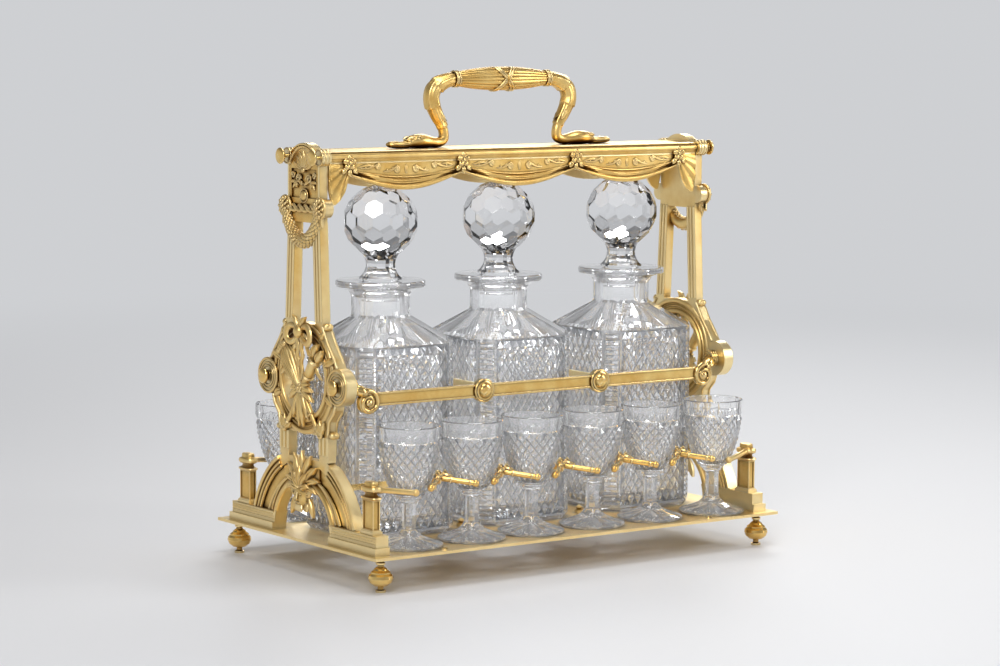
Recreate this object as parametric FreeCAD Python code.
import FreeCAD, Part
import math
import os

# Antique tantalus: a gilt bronze stand on a pierced plate, with two openwork end
# frames, a hinged top that locks over three square decanters, and twelve glasses.
# Millimetres. X runs along the long side, Y front to back, Z up. The origin is at
# the middle of the footprint, on the table. The front is on the -Y side.

V = FreeCAD.Vector
X_AXIS = V(1, 0, 0)
Y_AXIS = V(0, 1, 0)
Z_AXIS = V(0, 0, 1)

# General fits
running_fit = 0.10
seat_gap = 0.25
overrun = 5.0

# Feet: radii as shares of the bulb, heights as shares of the foot
foot_height = 24.8
foot_bulb_radius = 9.3
foot_inset = 12.1
foot_shares = (
    (0.0, 0.0), (0.41, 0.0), (0.41, 0.065), (0.24, 0.09), (0.24, 0.17), (0.56, 0.2),
    (0.86, 0.29), (1.0, 0.42), (0.95, 0.5), (0.8, 0.56), (0.78, 0.6), (0.56, 0.66),
    (0.5, 0.7), (0.28, 0.76), (0.26, 0.8), (0.37, 0.82), (0.37, 0.87), (0.25, 0.9),
    (0.25, 0.94), (0.34, 0.955), (0.34, 1.0), (0.0, 1.0),
)
plate_thick = 2.2
plate_top = foot_height + plate_thick
stand_height = plate_top + seat_gap

# Decanters: the square body, then the shoulder, neck and rim one above the other
decanter_half = 44.5
decanter_corner = 11.3
decanter_wall = 5.5
decanter_floor = 8.0
body_tall = 144.25
shoulder_rise = 17.2
neck_radius = 22.2
neck_length = 18.8
neck_flare = 2.3
rim_lift = 4.0
rim_reach = 9.7
rim_thick = 4.8
mouth_radius = 14.5
even_corner_share = 2 - math.sqrt(2)
shoulder_height = stand_height + body_tall
neck_height = shoulder_height + shoulder_rise
neck_flare_radius = neck_radius + neck_flare
neck_flare_height = neck_height + neck_length
rim_radius = neck_flare_radius + rim_reach
rim_low = neck_flare_height + rim_lift
rim_top = rim_low + rim_thick

# The three bays; the middle and right decanters stand a little off their bays
bay_gap = 24.0
middle_shift = 3.5
right_shift = 4.0
bay_pitch = 2 * decanter_half + bay_gap
decanter_x = (-bay_pitch, -middle_shift, bay_pitch + right_shift)
stop_x = bay_pitch / 2

# Stoppers
stopper_gap = 0.3
plug_length = 16.0
plug_taper = 0.7
stopper_foot_lap = 0.9
stopper_waist_half = 10.5
stopper_waist_rise = 9.9
stopper_neck_share = 1.2
ball_neck = 5.5
ball_radius = 28.4
ball_facets = 12
ball_row_shares = (-0.667, -0.333, 0.0, 0.333, 0.667, 0.9)
stopper_foot_half = mouth_radius + stopper_foot_lap
stopper_foot_height = rim_top + stopper_gap
stopper_waist_height = stopper_foot_height + stopper_waist_rise
ball_height = stopper_waist_height + ball_radius + ball_neck

# Retaining bars, their bosses, volutes and end arms
bar_gap = 5.9
bar_thick = 3.0
bar_drop = 9.8
bar_tall = 9.9
bar_bead = 1.5
bar_bead_proud = 0.5
bar_boss_shift = 1.5
bar_boss_radius = 9.0
bar_boss_proud = 1.2
bar_dome = 3.2
bar_dome_radius = 6.4
volute_inset = 15.3
volute_drop = 2.0
volute_radius = 8.4
volute_eye_radius = 3.0
volute_thick = 3.9
arm_boss_radius = 6.0
arm_boss_length = 6.0
arm_share = 0.75
bolt_radius = 2.0
bolt_knob_radius = 5.2
bolt_knob_thick = 2.8
bolt_neck = 2.6
bolt_neck_share = 0.6
divider_thick = 3.0
divider_tall = 6.0
bar_back_y = decanter_half + bar_gap
bar_boss_x = stop_x - bar_boss_shift

# Stem glasses: radii as shares of the rim radius, heights as shares of the height
glass_height = 89.5
glass_foot_gap = 2.85
glass_foot_spread = 1.8
glass_gap = 1.2
glass_arm_count = 5
glass_shares = (
    (1.076, 0.0), (1.076, 0.022), (0.95, 0.04), (0.55, 0.075), (0.3, 0.11), (0.225, 0.16),
    (0.225, 0.35), (0.31, 0.372), (0.31, 0.39), (0.4, 0.402), (0.4, 0.418), (0.5, 0.432),
    (0.62, 0.48), (0.72, 0.54), (0.82, 0.62), (0.9, 0.71), (0.965, 0.81), (0.99, 0.87),
    (1.0, 0.88), (1.0, 1.0),
)
bowl_shares = (
    (0.925, 1.0), (0.915, 0.87), (0.88, 0.8), (0.81, 0.7), (0.7, 0.6), (0.55, 0.52),
    (0.36, 0.47), (0.0, 0.45),
)
glass_arm_pitch = bay_pitch / 2
glass_foot_radius = bay_pitch / 4 - glass_foot_gap
glass_radius = glass_foot_radius - glass_foot_spread
glass_row_y = bar_back_y + bar_thick + glass_radius + glass_gap
# where the front glasses stand along the bays; the last one stands a little further out.
# The back ones are the same places turned half round
glass_place_shares = (-1.23717, -0.73628, -0.25, 0.2646, 0.7646, 1.29558)
last_glass_shift = 2.8
last_glass_x = glass_place_shares[-1] * bay_pitch
last_glass_y = glass_row_y + last_glass_shift

# Glass holders; their heights are shares of the glass
holder_radius = 2.1
holder_tip_radius = 2.7
holder_gap = 1.17
cup_share = 0.62
holder_height_share = 0.5391
fork_tip_share = 0.5
prong_share = 0.5168
prong_tip_share = 0.4777
rack_share = 0.4441
fork_step = 1.8
fork_reach = 17.0
fork_tip_side = 8.25
fork_leaf_radius = 3.4
fork_leaf_height = 4.5
rack_gap = 2.0
rack_thick = 3.0
rack_tall = 4.5
arm_width = 4.0
arm_thick = 3.0
prong_step = 10.3
prong_tip_step = 1.6
holder_height = stand_height + glass_height * holder_height_share
fork_tip_height = stand_height + glass_height * fork_tip_share
prong_height = stand_height + glass_height * prong_share
rack_low = stand_height + glass_height * rack_share
fork_y = glass_row_y + fork_step
fork_spread = glass_arm_pitch / 2 - fork_tip_side
rack_y = decanter_half + rack_gap + rack_thick / 2
prong_y = glass_row_y + prong_step
prong_tip_x = last_glass_x + prong_tip_step
prong_tip_y = last_glass_y + cup_share * glass_radius + holder_tip_radius + holder_gap
prong_tip_z = stand_height + glass_height * prong_tip_share

# End frames, drawn in the YZ plane
frame_room = 2.5
frame_thick = 6.7
frame_inner_x = last_glass_x + glass_foot_radius + frame_room
frame_outer_x = frame_inner_x + frame_thick
frame_mid_x = frame_inner_x + frame_thick / 2
groove_deep = 1.2

# Base plate
plate_overhang = 9.0
plate_margin = 6.9
plate_length = 2 * (frame_outer_x + plate_overhang)
plate_depth = 2 * (glass_row_y + glass_foot_radius + plate_margin)
bay_window = 64.0
bay_ring_outer = 16.0
bay_ring_inner = 10.5
bay_arm = 5.0
slot_length = 36.0
slot_width = 5.0
stud_shift = 12.0
stud_inset = 7.0
stud_radius = 2.6
stud_height = 1.6
stop_y = 27.0
stop_radius = 3.6
stop_height = 6.5
stop_shares = ((0.0, 0.0), (1.0, 0.0), (1.0, 0.3), (0.5, 0.45), (0.8, 0.7), (0.0, 1.0))

# Corner pedestals and the plinths under them
pedestal_step = 7.4
pedestal_width = 14.0
pedestal_depth = 6.0
cap_proud = 2.6
cap_height = 4.2
drum_height = 5.2
drum_inset = 1.6
prong_in_drum = 3.3
finial_height = 4.0
plinth_height = 14.0
plinth_proud = 2.0
plinth_foot_height = 5.5
plinth_foot_proud = 1.8
plinth_end = 7.4
pedestal_y = glass_row_y + pedestal_step
plinth_half_length = pedestal_y + pedestal_width / 2 + plinth_end
plinth_top = plate_top + plinth_height
pedestal_column = prong_height - prong_in_drum - cap_height - plinth_top

# Arch, legs, shield and ring, from the plate upwards
arch_gap = 5.1
arch_sink = 7.6
arch_band = 34.5
arch_hole_rise = 1.0
arch_groove_inset = 14.5
arch_groove_width = 11.0
crown_cut = 6.9
leg_outer = 33.5
leg_width = 12.5
leg_tall = 19.0
ring_radius = 42.0
ring_hole_radius = 29.5
ring_groove_radius = 35.5
ring_groove_width = 5.0
shield_lap = 1.0
disc_drop = 2.4
disc_step = 5.9
disc_radius = 13.85
disc_proud = 1.8
arch_radius = pedestal_y - pedestal_width / 2 - arch_gap
arch_centre = plate_top - arch_sink
arch_hole_centre = plate_top + arch_hole_rise
arch_hole_radius = arch_radius - arch_band
arch_groove_radius = arch_radius - arch_groove_inset
crown_height = arch_centre + arch_radius - crown_cut
shield_bottom = crown_height + leg_tall
ring_height = shield_bottom + ring_radius - shield_lap
shield_top = ring_height + ring_radius - shield_lap
disc_height = ring_height - disc_drop
disc_offset = ring_radius + disc_step
bar_height = disc_height - bar_drop
volute_x = frame_inner_x - volute_inset

# Outline of the shield between the shield top and the discs, as shares of the
# step out to the discs and of the drop to them; then below the discs the same way
shoulder_shares = ((0.0, 0.0), (0.4, 0.33), (0.75, 0.55), (1.0, 0.7))
waist_shares = ((1.0, 0.0), (0.72, 0.45), (0.1, 0.7), (0.0, 1.0))

# Lid, with rosettes and swags; it clears the stoppers
lid_clear = 23.7
lid_gap = 0.5
lid_skin = 2.0
lid_rim_height = 8.0
lid_edge_step = 2.7
lug_length = 9.0
lug_width = 6.1
apron_thick = 2.5
apron_inset = 1.0
swag_drop = 17.5
swag_sag = 12.0
tail_sag = 22.0
rosette_shares = (0.30725, 0.89758)
rosette_radius = 5.6
rosette_proud = 2.6
rosette_drop = 8.1
tail_shares = ((0.0, 0.3), (0.2, 0.55), (0.45, 0.85), (0.72, 1.0), (0.85, 0.97), (1.0, 0.45))
lid_edge_shares = (
    (0.905, 1.0), (0.955, 0.9), (0.97, 0.75), (1.0, 0.65), (1.0, 0.3),
    (0.975, 0.15), (0.925, 0.0),
)
lid_top = ball_height + ball_radius + lid_clear + lid_skin
lid_half_length = frame_inner_x - lid_gap
swag_high = lid_top - swag_drop
swag_low = swag_high - swag_sag
tail_low = swag_high - tail_sag
rosette_height = lid_top - rosette_drop
rosette_x = [share * lid_half_length for share in rosette_shares]

# Top panel of the end frames, with the hinge and lock axes in its corners
axis_drop = 4.2
panel_half_width = 21.8
panel_step = 4.3
panel_tall = 44.0
panel_border = 4.6
crest_rise = 14.6
upright_width = 10.0
upright_spread = 3.8
boss_rise = 11.0
boss_offset = 23.5
boss_radius = 6.8
boss_proud = 2.6
barrel_radius = 5.8
barrel_proud = 1.2
axis_y = panel_half_width
axis_z = lid_top - axis_drop
panel_top = axis_z - panel_step
panel_bottom = panel_top - panel_tall
boss_height = panel_bottom + boss_rise
upright_top_outer = panel_half_width
upright_low_outer = panel_half_width + upright_spread
barrel_end_x = frame_outer_x + barrel_proud
lid_half_depth = axis_y + lid_edge_step

# Hinge pins and lock bolts; each bolt slides over a keeper in the end of the lid
pin_radius = 1.5
pin_depth = 6.0
knob_radius = 6.0
knob_thick = 2.2
knob_collar_radius = 3.8
knob_collar_thick = 0.7
lock_travel = 3.0
lock_clear = 0.3
mortise_depth = 4.5
mortise_clear = 0.35
keeper_clear = 0.6
lid_inner = axis_y - pin_radius - mortise_clear
lid_under = lid_top - lid_skin
lid_base = lid_top - lid_rim_height
keeper_top = axis_z - pin_radius - keeper_clear

# Handle: the path runs from the end of the grip to the bill tip
handle_shift = -2.0
handle_rise = 51.8
handle_reach = 105.0
grip_radius = 9.1
grip_length_share = 0.4143
grip_end_share = 0.55
grip_collar_proud = 0.9
grip_collar_width = 3.2
grip_height = lid_top + handle_rise
grip_half_length = handle_reach * grip_length_share
grip_end_radius = grip_radius * grip_end_share
grip_collar_radius = grip_end_radius + grip_collar_proud
# across and up the handle, then the half height and half width of the section,
# both as shares of the grip radius
swan_shares = (
    (0.414, 0.994, 0.55, 0.55), (0.465, 0.985, 0.57, 0.57), (0.512, 0.96, 0.58, 0.58),
    (0.565, 0.915, 0.63, 0.63), (0.603, 0.845, 0.66, 0.66), (0.617, 0.74, 0.62, 0.62),
    (0.598, 0.59, 0.6, 0.6), (0.568, 0.444, 0.53, 0.53), (0.532, 0.325, 0.43, 0.43),
    (0.512, 0.23, 0.42, 0.42), (0.51, 0.15, 0.43, 0.43),
)
# the head lies on the lid, so its heights are shares of the grip radius too
head_shares = (
    (0.53, 0.541, 0.44, 0.46), (0.57, 0.416, 0.44, 0.5), (0.62, 0.438, 0.46, 0.6),
    (0.68, 0.484, 0.5, 0.72), (0.74, 0.484, 0.5, 0.74), (0.8, 0.421, 0.44, 0.66),
    (0.85, 0.302, 0.32, 0.5), (0.9, 0.222, 0.24, 0.48), (0.96, 0.182, 0.2, 0.5),
    (1.0, 0.125, 0.14, 0.4),
)

# Ornaments on the end frames
garland_hang = 15.5
garland_thin = 3.0
garland_thick = 5.6
trophy_thick = 5.0
trophy_top_inset = 5.0
trophy_low_inset = 3.0
trophy_spread = 27.0
trophy_width = 8.0
bow_radius = 6.5
palmette_rise = 4.0
palmette_half_width = 21.0
palmette_thick = 3.4
palmette_leaves = 7
leaf_belly_share = 0.7
mask_drop = 28.5
mask_half_height = 10.5
mask_half_width = 10.0
mask_half_thick = 4.4
garland_low = panel_bottom - garland_hang
trophy_top = shield_top - trophy_top_inset
trophy_low = shield_bottom + trophy_low_inset
palmette_top = crown_height + palmette_rise
mask_height = crown_height - mask_drop

# Screws that hold the end frames to the plate
screw_radius = 1.6
screw_head_radius = 3.2
screw_head_height = 1.8
screw_depth = 8.0
screw_inset = 11.0
screw_places = (arch_hole_radius + screw_inset, pedestal_y)


# Shape helpers
def block(x0, x1, y0, y1, z0, z1):
    return Part.makeBox(x1 - x0, y1 - y0, z1 - z0, V(x0, y0, z0))


def rod(start, axis, radius, length):
    return Part.makeCylinder(radius, length, start, axis)


def face_of(points):
    return Part.Face(Part.makePolygon(points + points[:1]))


def slab_x(outline, x0, x1):
    # a solid between two X planes from an outline of (y, z) points
    return face_of([V(x0, y, z) for y, z in outline]).extrude(V(x1 - x0, 0, 0))


def slab_y(outline, y0, y1):
    # a solid between two Y planes from an outline of (x, z) points
    return face_of([V(x, y0, z) for x, z in outline]).extrude(V(0, y1 - y0, 0))


def turned(profile, x=0, y=0):
    # a solid of revolution about a vertical line, from (radius, height) points
    face = face_of([V(r, 0, z) for r, z in profile])
    solid = face.revolve(V(0, 0, 0), Z_AXIS, 360)
    solid.translate(V(x, y, 0))
    return solid


def mirrored(shape, normal):
    return shape.mirror(V(0, 0, 0), normal)


def both_ways(shape, normal):
    return shape.fuse(mirrored(shape, normal))


def side_of(shape, side):
    # pieces are drawn on the right, so the left ones are mirrored
    return shape if side > 0 else mirrored(shape, X_AXIS)


def tidy(shape):
    return shape.removeSplitter()


def smooth_section(centre, along, half_up, half_wide):
    # a closed oval section square to a path that lies in the XZ plane
    up = along.cross(Y_AXIS)
    up.normalize()
    points = []
    for step in range(12):
        turn = 2 * math.pi * step / 12
        points.append(centre + up * (half_up * math.cos(turn)) + Y_AXIS * (half_wide * math.sin(turn)))
    curve = Part.BSplineCurve()
    curve.interpolate(points, PeriodicFlag=True)
    return Part.Wire(curve.toShape())


def octagon(half, corner, z, x=0, y=0):
    inner = half - corner
    points = [(-half, -inner), (-inner, -half), (inner, -half), (half, -inner),
              (half, inner), (inner, half), (-inner, half), (-half, inner)]
    return Part.makePolygon([V(x + px, y + py, z) for px, py in points + points[:1]])


def even_octagon(half, z, x=0, y=0):
    return octagon(half, half * even_corner_share, z, x, y)


def tapered_bar(start, end, start_radius, end_radius):
    run = end - start
    if abs(start_radius - end_radius) > 0:
        return Part.makeCone(start_radius, end_radius, run.Length, start, run)
    return Part.makeCylinder(start_radius, run.Length, start, run)


# Base plate
def bay_cut(x):
    # the pierced panel below one decanter: a ring held by four arms
    half = bay_window / 2
    low = foot_height - overrun
    high = plate_top + overrun
    cut = block(x - half, x + half, -half, half, low, high)
    ring = rod(V(x, 0, low), Z_AXIS, bay_ring_outer, high - low)
    arm = block(x - half, x + half, -bay_arm / 2, bay_arm / 2, low, high)
    arm = arm.fuse(block(x - bay_arm / 2, x + bay_arm / 2, -half, half, low, high))
    cut = cut.cut(ring.fuse(arm))
    return cut.fuse(rod(V(x, 0, low), Z_AXIS, bay_ring_inner, high - low))


def every_glass():
    places = []
    for row, way in (("front", 1), ("back", -1)):
        for number, share in enumerate(glass_place_shares):
            y = -last_glass_y if number + 1 == len(glass_place_shares) else -glass_row_y
            places.append((row, number + 1, way * share * bay_pitch, way * y))
    return places


def base_plate():
    half_x = plate_length / 2
    half_y = plate_depth / 2
    plate = block(-half_x, half_x, -half_y, half_y, foot_height, plate_top)
    low = foot_height - overrun
    high = plate_top + overrun
    for bay in (-1, 0, 1):
        plate = plate.cut(bay_cut(bay * bay_pitch))
    for row, number, x, y in every_glass():
        slot = block(x - slot_length / 2, x + slot_length / 2,
                     y - slot_width / 2, y + slot_width / 2, low, high)
        plate = plate.cut(slot)
    for x, y in screw_points():
        plate = plate.cut(rod(V(x, y, low), Z_AXIS, screw_radius + running_fit, high - low))
    return plate


def screw_points():
    return [(side * frame_mid_x, way * y)
            for side in (-1, 1) for way in (-1, 1) for y in screw_places]


def foot(side, way):
    profile = [(r * foot_bulb_radius, z * foot_height) for r, z in foot_shares]
    return turned(profile, side * (plate_length / 2 - foot_inset), way * (plate_depth / 2 - foot_inset))


def plate_studs():
    solids = []
    for side in (-1, 1):
        for way in (-1, 1):
            y = way * (plate_depth / 2 - stud_inset)
            cone = Part.makeCone(stud_radius, stud_radius / 2, stud_height, V(side * (bay_pitch + stud_shift), y, plate_top))
            solids.append(cone)
    return Part.makeCompound(solids)


def leaf_stops():
    solids = []
    for side in (-1, 1):
        for way in (-1, 1):
            profile = [(r * stop_radius, plate_top + z * stop_height) for r, z in stop_shares]
            solids.append(turned(profile, side * stop_x, way * stop_y))
    return Part.makeCompound(solids)


def frame_screws():
    solids = []
    for x, y in screw_points():
        shank = rod(V(x, y, foot_height), Z_AXIS, screw_radius, plate_thick + screw_depth)
        head = rod(V(x, y, foot_height - screw_head_height), Z_AXIS, screw_head_radius, screw_head_height)
        solids.append(tidy(shank.fuse(head)))
    return Part.makeCompound(solids)


# End frames
def shield_outline():
    points = []
    drop = shield_top - disc_height
    for out, down in shoulder_shares:
        points.append((upright_low_outer + (disc_offset - upright_low_outer) * out,
                       shield_top - drop * down))
    fall = disc_height - shield_bottom
    for out, down in waist_shares:
        points.append((leg_outer + (disc_offset - leg_outer) * out, disc_height - fall * down))
    return points + [(-y, z) for y, z in reversed(points)]


def end_frame():
    x0 = frame_inner_x
    x1 = frame_outer_x
    thick = x1 - x0
    crest_radius = (panel_half_width ** 2 + crest_rise ** 2) / (2 * crest_rise)
    crest_centre = panel_top + crest_rise - crest_radius
    panel = block(x0, x1, -panel_half_width, panel_half_width, panel_bottom, panel_top)
    crest = rod(V(x0, 0, crest_centre), X_AXIS, crest_radius, thick)
    crest = crest.common(block(x0, x1, -panel_half_width, panel_half_width,
                               panel_top, panel_top + crest_rise + overrun))
    body = panel.fuse(crest)
    upright = slab_x([(upright_top_outer, panel_bottom), (upright_low_outer, shield_top),
                      (upright_low_outer - upright_width, shield_top),
                      (upright_top_outer - upright_width, panel_bottom)], x0, x1)
    body = body.fuse(both_ways(upright, Y_AXIS))
    body = body.fuse(slab_x(shield_outline(), x0, x1))
    body = body.fuse(rod(V(x0, 0, ring_height), X_AXIS, ring_radius, thick))
    leg = block(x0, x1, leg_outer - leg_width, leg_outer, crown_height, shield_bottom)
    body = body.fuse(both_ways(leg, Y_AXIS))
    body = body.cut(rod(V(x0 - overrun, 0, ring_height), X_AXIS, ring_hole_radius, thick + 2 * overrun))
    arch = rod(V(x0, 0, arch_centre), X_AXIS, arch_radius, thick)
    arch_top = block(x0, x1, -arch_radius, arch_radius, plinth_top, crown_height)
    arch = arch.common(arch_top)
    body = body.fuse(arch)
    plinth = block(x0 - plinth_proud, x1 + plinth_proud,
                   -plinth_half_length, plinth_half_length, plate_top, plinth_top)
    plinth_foot = block(x0 - plinth_proud, x1 + plinth_proud + plinth_foot_proud,
                        -plinth_half_length - plinth_foot_proud, plinth_half_length + plinth_foot_proud,
                        plate_top, plate_top + plinth_foot_height)
    body = body.fuse(plinth).fuse(plinth_foot)
    hole = rod(V(x0 - 2 * overrun, 0, arch_hole_centre), X_AXIS, arch_hole_radius, thick + 4 * overrun)
    gate = block(x0 - 2 * overrun, x1 + 2 * overrun, -arch_hole_radius, arch_hole_radius,
                 plate_top - overrun, arch_hole_centre)
    body = body.cut(hole.fuse(gate))
    for way in (-1, 1):
        body = body.fuse(rod(V(x0, way * disc_offset, disc_height), X_AXIS, disc_radius,
                             thick + disc_proud))
        body = body.fuse(rod(V(x0, way * boss_offset, boss_height), X_AXIS, boss_radius,
                             thick + boss_proud))
        body = body.fuse(rod(V(x0, way * axis_y, axis_z), X_AXIS, barrel_radius, thick + barrel_proud))
    # sunk fields: the panel, the arch band and the band round the ring
    field = block(x1 - groove_deep, x1 + overrun, -panel_half_width + panel_border,
                  panel_half_width - panel_border, boss_height + boss_radius, panel_top - panel_border)
    band = rod(V(x1 - groove_deep, 0, arch_centre), X_AXIS, arch_groove_radius + arch_groove_width / 2,
               groove_deep + overrun)
    band = band.cut(rod(V(x1 - 2 * groove_deep, 0, arch_centre), X_AXIS,
                        arch_groove_radius - arch_groove_width / 2, 2 * (groove_deep + overrun)))
    sides = block(x1 - overrun, x1 + overrun, leg_outer - leg_width, arch_radius, plinth_top, crown_height)
    band = band.common(both_ways(sides, Y_AXIS))
    ring_band = rod(V(x1 - groove_deep, 0, ring_height), X_AXIS,
                    ring_groove_radius + ring_groove_width / 2, groove_deep)
    ring_band = ring_band.cut(rod(V(x1 - 2 * groove_deep, 0, ring_height), X_AXIS,
                                  ring_groove_radius - ring_groove_width / 2, 3 * groove_deep))
    ring_low = block(x1 - overrun, x1 + overrun, -ring_radius, ring_radius,
                     ring_height - ring_radius, ring_height - ring_hole_radius / 2)
    ring_band = ring_band.common(ring_low)
    body = body.cut(field).cut(band).cut(ring_band)
    for way in (-1, 1):
        bore = rod(V(x0 - overrun, way * axis_y, axis_z), X_AXIS, pin_radius + running_fit,
                   thick + barrel_proud + 2 * overrun)
        body = body.cut(bore)
        bolt = rod(V(x0 - overrun, way * disc_offset, disc_height), X_AXIS, bolt_radius + running_fit,
                   thick + disc_proud + 2 * overrun)
        body = body.cut(bolt)
        for y in screw_places:
            body = body.cut(rod(V(frame_mid_x, way * y, plate_top - overrun), Z_AXIS,
                                screw_radius + running_fit, overrun + screw_depth + seat_gap))
    return tidy(body)


def pedestal():
    x0 = frame_mid_x - pedestal_depth / 2
    x1 = frame_mid_x + pedestal_depth / 2
    half = pedestal_width / 2
    y = -pedestal_y
    z = plinth_top
    body = block(x0, x1, y - half, y + half, z, z + pedestal_column)
    base = block(x0 - cap_proud / 2, x1 + cap_proud / 2, y - half - cap_proud / 2,
                 y + half + cap_proud / 2, z, z + cap_height / 2)
    body = body.fuse(base)
    z += pedestal_column
    body = body.fuse(block(x0 - cap_proud / 2, x1 + cap_proud / 2, y - half - cap_proud / 2,
                           y + half + cap_proud / 2, z, z + cap_height / 2))
    z += cap_height / 2
    body = body.fuse(block(x0 - cap_proud, x1 + cap_proud, y - half - cap_proud,
                           y + half + cap_proud, z, z + cap_height / 2))
    z += cap_height / 2
    body = body.fuse(block(x0 - drum_inset + cap_proud, x1 + drum_inset - cap_proud,
                           y - half + drum_inset, y + half - drum_inset, z, z + drum_height))
    z += drum_height
    body = body.fuse(block(x0 - cap_proud / 2, x1 + cap_proud / 2, y - half, y + half,
                           z, z + finial_height))
    tip = V(prong_tip_x, -prong_tip_y, prong_tip_z)
    start = V(x0 + cap_proud / 2, -prong_y, prong_height)
    body = body.fuse(tapered_bar(start, tip, holder_radius, holder_radius))
    return tidy(body.fuse(Part.makeSphere(holder_tip_radius, tip)))


def glass_rack():
    # the front rack: a rail behind the glasses, with a forked arm between each two
    inner_y = -rack_y + rack_thick / 2
    outer_y = -rack_y - rack_thick / 2
    rail = block(-frame_inner_x, frame_inner_x, outer_y, inner_y, rack_low, rack_low + rack_tall)
    for number in range(glass_arm_count):
        x = (number - (glass_arm_count - 1) / 2) * glass_arm_pitch
        arm = slab_y([(x - arm_width / 2, rack_low), (x + arm_width / 2, rack_low),
                      (x + arm_width / 2, rack_low + arm_thick), (x - arm_width / 2, rack_low + arm_thick)],
                     outer_y - arm_thick, -rack_y)
        run = [V(x - arm_width / 2, -rack_y, rack_low), V(x - arm_width / 2, -rack_y, rack_low + arm_thick),
               V(x - arm_width / 2, -fork_y, holder_height + holder_radius),
               V(x - arm_width / 2, -fork_y, holder_height - holder_radius)]
        arm = arm.fuse(face_of(run).extrude(V(arm_width, 0, 0)))
        root = V(x, -fork_y, holder_height)
        fork = Part.makeSphere(holder_tip_radius, root)
        for side in (-1, 1):
            tip = V(x + side * fork_spread, -fork_y - fork_reach, fork_tip_height)
            fork = fork.fuse(tapered_bar(root, tip, holder_radius, holder_radius))
            fork = fork.fuse(Part.makeSphere(holder_tip_radius, tip))
        leaf = Part.makeCone(fork_leaf_radius, fork_leaf_radius / 3, fork_leaf_height,
                             V(x, -fork_y + holder_radius, holder_height + holder_radius / 2))
        rail = rail.fuse(arm).fuse(fork).fuse(leaf)
    return tidy(rail)


def retaining_bar():
    # the front bar, with its bosses, volutes and the arms that reach the frames
    back = -bar_back_y
    front = -bar_back_y - bar_thick
    half = bar_tall / 2
    body = block(-volute_x, volute_x, front, back, bar_height - half, bar_height + half)
    for low in (bar_height - half, bar_height + half - bar_bead):
        body = body.fuse(block(-volute_x, volute_x, front - bar_bead_proud, front, low, low + bar_bead))
    for side in (-1, 1):
        x = side * bar_boss_x
        body = body.fuse(rod(V(x, front - bar_boss_proud, bar_height), Y_AXIS, bar_boss_radius,
                             bar_thick + bar_boss_proud))
        body = body.fuse(Part.makeCone(bar_dome_radius / 2, bar_dome_radius, bar_dome,
                                       V(x, front - bar_boss_proud - bar_dome, bar_height), Y_AXIS))
        x = side * volute_x
        z = bar_height - volute_drop
        body = body.fuse(rod(V(x, back - volute_thick, z), Y_AXIS, volute_radius, volute_thick))
        body = body.fuse(rod(V(x, back - volute_thick - bar_bead_proud, z), Y_AXIS,
                             volute_eye_radius, volute_thick))
        seat = V(side * frame_inner_x, -disc_offset, disc_height)
        inward = V(-side, 0, 0)
        body = body.fuse(Part.makeCylinder(arm_boss_radius, arm_boss_length, seat, inward))
        root = seat + inward * (arm_boss_length / 2)
        end = V(x, back - volute_thick / 2, z + volute_radius / 2)
        body = body.fuse(tapered_bar(root, end, arm_boss_radius * arm_share, volute_thick / 2))
        body = body.cut(Part.makeCylinder(bolt_radius + running_fit, arm_boss_length + overrun,
                                          seat - inward * overrun, inward))
    return tidy(body)


def bar_bolts():
    start = frame_inner_x - arm_boss_length / 2
    face = frame_outer_x + disc_proud
    shank = rod(V(start, 0, 0), X_AXIS, bolt_radius, face + bolt_neck - start)
    knob = rod(V(face, 0, 0), X_AXIS, bolt_knob_radius * bolt_neck_share, bolt_neck)
    knob = knob.fuse(rod(V(face + bolt_neck, 0, 0), X_AXIS, bolt_knob_radius, bolt_knob_thick))
    solids = []
    for way in (-1, 1):
        bolt = tidy(shank.fuse(knob))
        bolt.translate(V(0, way * disc_offset, disc_height))
        solids += [bolt, mirrored(bolt, X_AXIS)]
    return Part.makeCompound(solids)


def divider():
    # a strip that runs between two decanters from the front bar to the back bar
    return block(bar_boss_x - divider_thick / 2, bar_boss_x + divider_thick / 2, -bar_back_y, bar_back_y,
                 bar_height + bar_tall / 2 - divider_tall, bar_height + bar_tall / 2)


# Hinge pins and lock bolts
def knobbed_pin(inner_x):
    shank_end = barrel_end_x + lock_travel + lock_clear
    shank = rod(V(inner_x, 0, 0), X_AXIS, pin_radius, shank_end - inner_x)
    collar = rod(V(shank_end, 0, 0), X_AXIS, knob_collar_radius, knob_collar_thick)
    knob = rod(V(shank_end + knob_collar_thick, 0, 0), X_AXIS, knob_radius, knob_thick)
    return tidy(shank.fuse(collar).fuse(knob))


# Lid
def lid_slab(low_x, high_x, low_y, high_y, low_z, high_z):
    # a part of the lid's moulded bar between the given planes
    right = [(y * lid_half_depth, lid_base + z * lid_rim_height) for y, z in lid_edge_shares]
    left = [(-y, z) for y, z in reversed(right)]
    bar = slab_x(right + left, -lid_half_length, lid_half_length)
    return bar.common(block(low_x, high_x, low_y, high_y, low_z, high_z))


def lid_plate():
    return lid_slab(-lid_half_length, lid_half_length, -lid_half_depth, lid_half_depth, lid_under, lid_top)


def lid_rail_front():
    # it stops short of the ends, where the lock bolts slide in
    reach = lid_half_length - mortise_depth
    return lid_slab(-reach, reach, -lid_half_depth, -lid_inner, lid_base, lid_under)


def lid_rail_back():
    reach = lid_half_length - lug_length
    return lid_slab(-reach, reach, lid_inner, lid_half_depth, lid_base, lid_under)


def lid_keeper():
    # the ledge under the right lock bolt, which keeps the lid shut
    return lid_slab(lid_half_length - mortise_depth, lid_half_length, -lid_half_depth, -lid_inner,
                    lid_base, keeper_top)


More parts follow.
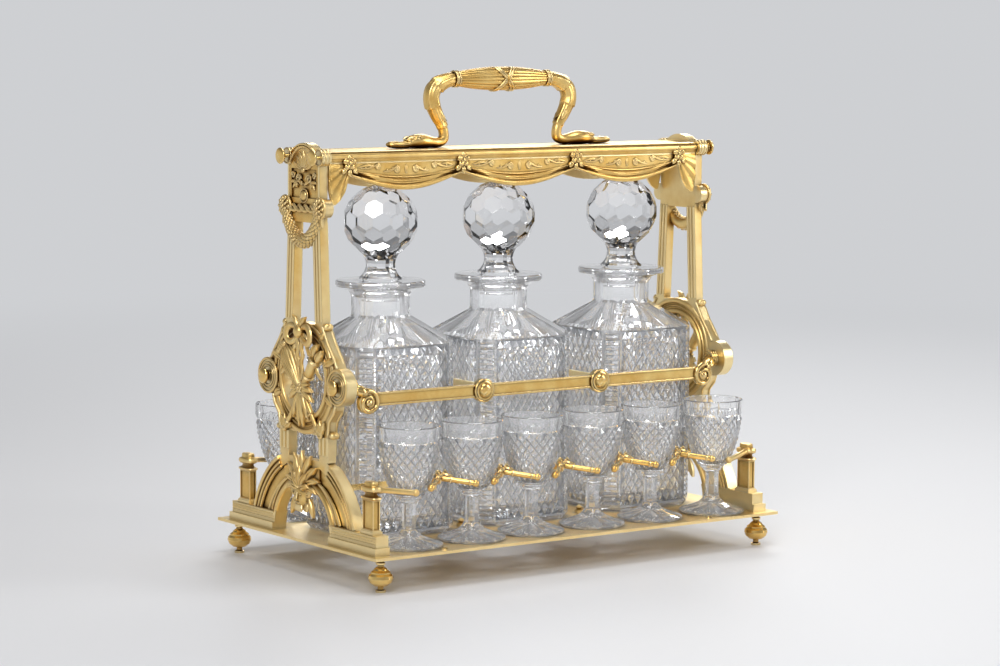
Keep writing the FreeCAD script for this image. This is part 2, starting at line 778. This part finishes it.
def lid_lug_front():
    return lid_slab(lid_half_length - lug_length, lid_half_length, -lid_inner, -lid_inner + lug_width,
                    lid_base, lid_under)


def lid_lug_back():
    # it holds the right hinge pin
    lug = lid_slab(lid_half_length - lug_length, lid_half_length, lid_inner - lug_width, lid_half_depth,
                   lid_base, lid_under)
    start = V(lid_half_length - lug_length - overrun, axis_y, axis_z)
    return lug.cut(rod(start, X_AXIS, pin_radius + running_fit, lug_length + 2 * overrun))


def swag_edge():
    # the lower edge of the apron from the middle of the lid to its right end
    points = []
    drop = swag_high - swag_low
    spans = ((-rosette_x[0], rosette_x[0]), (rosette_x[0], rosette_x[1]))
    for left, right in spans:
        for step in range(13):
            share = step / 12
            x = left + (right - left) * share
            if x >= 0 and not (points and x <= points[-1][0]):
                points.append((x, swag_high - drop * math.sin(math.pi * share)))
    width = lid_half_length - rosette_x[1]
    for out, down in tail_shares[1:]:
        points.append((rosette_x[1] + width * out, swag_high - (swag_high - tail_low) * down))
    return points


def apron(lid):
    # the front apron; it hangs from the lid's rim
    front = -lid_half_depth + apron_inset
    back = front + apron_thick
    half = swag_edge()
    outline = [(-x, z) for x, z in reversed(half)] + [(x, z) for x, z in half if x > 0]
    outline += [(lid_half_length, lid_base), (-lid_half_length, lid_base)]
    body = slab_y(outline, front, back)
    for side in (-1, 1):
        for x in rosette_x:
            body = body.fuse(rod(V(side * x, front - rosette_proud, rosette_height), Y_AXIS,
                                 rosette_radius, rosette_proud))
            hub = rod(V(side * x, front - rosette_proud, swag_high), Y_AXIS, rosette_radius / 2,
                      rosette_proud)
            body = body.fuse(hub)
    return tidy(body.cut(lid))


def handle():
    base = lid_top
    centres = [V(a * handle_reach, 0, base + b * handle_rise) for a, b, up, wide in swan_shares]
    centres += [V(a * handle_reach, 0, base + b * grip_radius) for a, b, up, wide in head_shares]
    sections = []
    last = len(centres) - 1
    for index, (a, b, up, wide) in enumerate(swan_shares + head_shares):
        along = centres[min(index + 1, last)] - centres[max(index - 1, 0)]
        along.normalize()
        sections.append(smooth_section(centres[index], along, up * grip_radius, wide * grip_radius))
    neck = Part.makeLoft(sections, True, False)
    neck = neck.common(block(0, handle_reach + overrun, -grip_radius, grip_radius,
                             base, grip_height + grip_radius))
    grip_arc = Part.Arc(V(-grip_half_length, 0, grip_end_radius), V(0, 0, grip_radius),
                        V(grip_half_length, 0, grip_end_radius)).toShape()
    outline = [grip_arc,
               Part.makeLine(V(grip_half_length, 0, grip_end_radius), V(grip_half_length, 0, 0)),
               Part.makeLine(V(grip_half_length, 0, 0), V(-grip_half_length, 0, 0)),
               Part.makeLine(V(-grip_half_length, 0, 0), V(-grip_half_length, 0, grip_end_radius))]
    grip = Part.Face(Part.Wire(outline)).revolve(V(0, 0, 0), X_AXIS, 360)
    grip.translate(V(0, 0, grip_height))
    body = grip.fuse(neck).fuse(mirrored(neck, X_AXIS))
    for side in (-1, 1):
        start = side * grip_half_length - grip_collar_width / 2
        body = body.fuse(rod(V(start, 0, grip_height), X_AXIS, grip_collar_radius, grip_collar_width))
    body.translate(V(handle_shift, 0, 0))
    return tidy(body)


# Decanters, stoppers and glasses
def decanter(x):
    low = stand_height
    body = Part.makeLoft([octagon(decanter_half, decanter_corner, low, x),
                          octagon(decanter_half, decanter_corner, shoulder_height, x)], True, True)
    shoulder = Part.makeLoft([octagon(decanter_half, decanter_corner, shoulder_height, x),
                              even_octagon(neck_radius, neck_height, x)], True, True)
    neck = turned([(0, neck_height), (neck_radius, neck_height),
                   (neck_radius, neck_flare_height - (neck_flare_radius - neck_radius)),
                   (neck_flare_radius, neck_flare_height), (rim_radius, rim_low),
                   (rim_radius, rim_top), (0, rim_top)], x)
    body = body.fuse(shoulder).fuse(neck)
    inner_half = decanter_half - decanter_wall
    inner_corner = decanter_corner * inner_half / decanter_half
    floor = low + decanter_floor
    ceiling = shoulder_height - decanter_wall / 2
    hollow = Part.makeLoft([octagon(inner_half, inner_corner, floor, x),
                            octagon(inner_half, inner_corner, ceiling, x)], True, True)
    hollow = hollow.fuse(Part.makeLoft([octagon(inner_half, inner_corner, ceiling, x),
                                        even_octagon(mouth_radius, neck_height - decanter_wall / 2, x)],
                                       True, True))
    hollow = hollow.fuse(rod(V(x, 0, ceiling), Z_AXIS, mouth_radius, rim_top - ceiling + overrun))
    return tidy(body.cut(hollow))


def ball_ring(share, x):
    angle = share * math.pi / 2
    # the facets touch the sphere at their corners
    radius = ball_radius * math.cos(angle)
    z = ball_height + ball_radius * math.sin(angle)
    points = []
    for step in range(ball_facets):
        turn = 2 * math.pi * (step + 0.5) / ball_facets
        points.append(V(x + radius * math.cos(turn), radius * math.sin(turn), z))
    return Part.makePolygon(points + points[:1])


def stopper(x):
    foot_z = stopper_foot_height
    plug_radius = mouth_radius - stopper_gap
    plug = Part.makeCone(plug_radius - plug_taper, plug_radius, plug_length,
                         V(x, 0, foot_z - plug_length))
    join_height = ball_height + ball_radius * math.sin(ball_row_shares[0] * math.pi / 2)
    neck = Part.makeLoft([even_octagon(stopper_foot_half, foot_z, x),
                          even_octagon(stopper_waist_half, stopper_waist_height, x)], True, True)
    neck = neck.fuse(Part.makeLoft([even_octagon(stopper_waist_half, stopper_waist_height, x),
                                    even_octagon(stopper_waist_half * stopper_neck_share, join_height, x)], True, True))
    ball = Part.makeLoft([ball_ring(share, x) for share in ball_row_shares], True, True)
    return tidy(plug.fuse(neck).fuse(ball))


def glass(x, y):
    outer = [(r * glass_radius, stand_height + z * glass_height) for r, z in glass_shares]
    outer[0] = (glass_foot_radius, outer[0][1])
    outer[1] = (glass_foot_radius, outer[1][1])
    inner = [(r * glass_radius, stand_height + z * glass_height) for r, z in bowl_shares]
    profile = [(0, stand_height)] + outer + inner
    return turned(profile, x, y)


# Ornaments on the end frames, seated on the outer faces
def garland():
    sections = []
    count = 12
    half = boss_offset
    for step in range(count + 1):
        turn = math.pi * step / count
        y = half * math.cos(turn)
        z = boss_height - (boss_height - garland_low - garland_thick) * math.sin(turn)
        radius = garland_thin + (garland_thick - garland_thin) * math.sin(turn)
        along = V(0, -half * math.sin(turn), -(boss_height - garland_low) * math.cos(turn))
        sections.append(Part.Wire(Part.makeCircle(radius, V(frame_outer_x, y, z), along)))
    body = Part.makeLoft(sections, True, False)
    front = block(frame_outer_x, frame_outer_x + overrun + garland_thick, -2 * half, 2 * half,
                  garland_low - overrun, boss_height + overrun)
    body = body.common(front)
    for way in (-1, 1):
        body = body.cut(rod(V(frame_inner_x, way * boss_offset, boss_height), X_AXIS, boss_radius,
                            frame_thick + boss_proud + overrun))
    return tidy(body)


def trophy():
    x0 = frame_outer_x
    x1 = x0 + trophy_thick
    half = trophy_width / 2
    low = trophy_low
    high = trophy_top - bow_radius
    body = None
    for side in (-1, 1):
        shaft = slab_x([(side * trophy_spread - half, low), (side * trophy_spread + half, low),
                        (-side * trophy_spread / 2 + half / 2, high),
                        (-side * trophy_spread / 2 - half / 2, high)], x0, x1)
        body = shaft if body is None else body.fuse(shaft)
        body = body.fuse(rod(V(x0, side * trophy_spread / 2, high), X_AXIS, bow_radius, trophy_thick))
    tie = block(x0, x1, -trophy_spread / 2, trophy_spread / 2, high - half, high + half / 2)
    return tidy(body.fuse(tie))


def mascaron(frame):
    x0 = frame_outer_x
    x1 = x0 + palmette_thick
    root = V(0, 0, mask_height + mask_half_height / 2)
    body = None
    for leaf in range(palmette_leaves):
        share = leaf / (palmette_leaves - 1) * 2 - 1
        reach = palmette_top - root.z
        tip_y = palmette_half_width * math.sin(share * math.pi / 2)
        tip_z = root.z + reach * (1 - share * share / 2)
        width = palmette_half_width / palmette_leaves
        mid_y = tip_y * leaf_belly_share
        mid_z = root.z + (tip_z - root.z) * leaf_belly_share
        side_y = width * math.cos(share * math.pi / 2)
        side_z = width * math.sin(share * math.pi / 2)
        blade = slab_x([(0, root.z - width), (mid_y + side_y, mid_z - side_z), (tip_y, tip_z),
                        (mid_y - side_y, mid_z + side_z)], x0, x1)
        body = blade if body is None else body.fuse(blade)
    ball = Part.makeSphere(mask_half_height)
    stretch = FreeCAD.Matrix()
    stretch.scale(mask_half_thick / mask_half_height, mask_half_width / mask_half_height, 1)
    mask = ball.transformGeometry(stretch)
    mask.translate(V(x0 + mask_half_thick / 2, 0, mask_height))
    body = body.fuse(mask).cut(frame)
    return tidy(body)


os.makedirs("parts", exist_ok=True)
nodes = {}

nodes["base_plate"] = base_plate()
for side, side_name in ((-1, "left"), (1, "right")):
    for way, way_name in ((-1, "front"), (1, "back")):
        nodes["foot_" + side_name + "_" + way_name] = foot(side, way)
nodes["plate_studs"] = plate_studs()
nodes["leaf_stops"] = leaf_stops()
nodes["frame_screws"] = frame_screws()
nodes["bar_bolts"] = bar_bolts()

right_frame = end_frame()
right_pedestal = pedestal()
for side, side_name in ((-1, "left"), (1, "right")):
    nodes["end_frame_" + side_name] = side_of(right_frame, side)
    nodes["garland_" + side_name] = side_of(garland(), side)
    nodes["trophy_" + side_name] = side_of(trophy(), side)
    nodes["mascaron_" + side_name] = side_of(mascaron(right_frame), side)
    nodes["pedestal_" + side_name + "_front"] = side_of(right_pedestal, side)
    nodes["pedestal_" + side_name + "_back"] = mirrored(side_of(right_pedestal, side), Y_AXIS)
    pin = knobbed_pin(lid_half_length - pin_depth)
    pin.translate(V(0, axis_y, axis_z))
    nodes["hinge_pin_" + side_name] = side_of(pin, side)
    bolt = knobbed_pin(lid_half_length + lock_clear)
    bolt.translate(V(0, -axis_y, axis_z))
    nodes["lock_bolt_" + side_name] = side_of(bolt, side)
    nodes["divider_" + side_name] = side_of(divider(), side)

front_bar = retaining_bar()
nodes["retaining_bar_front"] = front_bar
nodes["retaining_bar_back"] = mirrored(front_bar, Y_AXIS)
front_rack = glass_rack()
nodes["glass_rack_front"] = front_rack
nodes["glass_rack_back"] = mirrored(front_rack, Y_AXIS)

nodes["lid_plate"] = lid_plate()
nodes["lid_rail_front"] = lid_rail_front()
nodes["lid_rail_back"] = lid_rail_back()
nodes["lid_keepers"] = Part.makeCompound([side_of(lid_keeper(), side) for side in (-1, 1)])
for side, side_name in ((-1, "left"), (1, "right")):
    nodes["lid_lug_" + side_name + "_front"] = side_of(lid_lug_front(), side)
    nodes["lid_lug_" + side_name + "_back"] = side_of(lid_lug_back(), side)
front_apron = apron(Part.makeCompound([shape for name, shape in nodes.items() if name.startswith("lid_")]))
nodes["lid_apron_front"] = front_apron
nodes["lid_apron_back"] = mirrored(front_apron, Y_AXIS)
nodes["handle"] = handle()

for place, x in zip(("left", "middle", "right"), decanter_x):
    nodes["decanter_" + place] = decanter(x)
    nodes["stopper_" + place] = stopper(x)
for row, number, x, y in every_glass():
    nodes["glass_" + row + "_" + str(number)] = glass(x, y)

for name, shape in nodes.items():
    shape.exportStep("parts/" + name + ".step")
    print(name, "solids", len(shape.Solids), "valid", shape.isValid(), "volume", round(shape.Volume, 1))
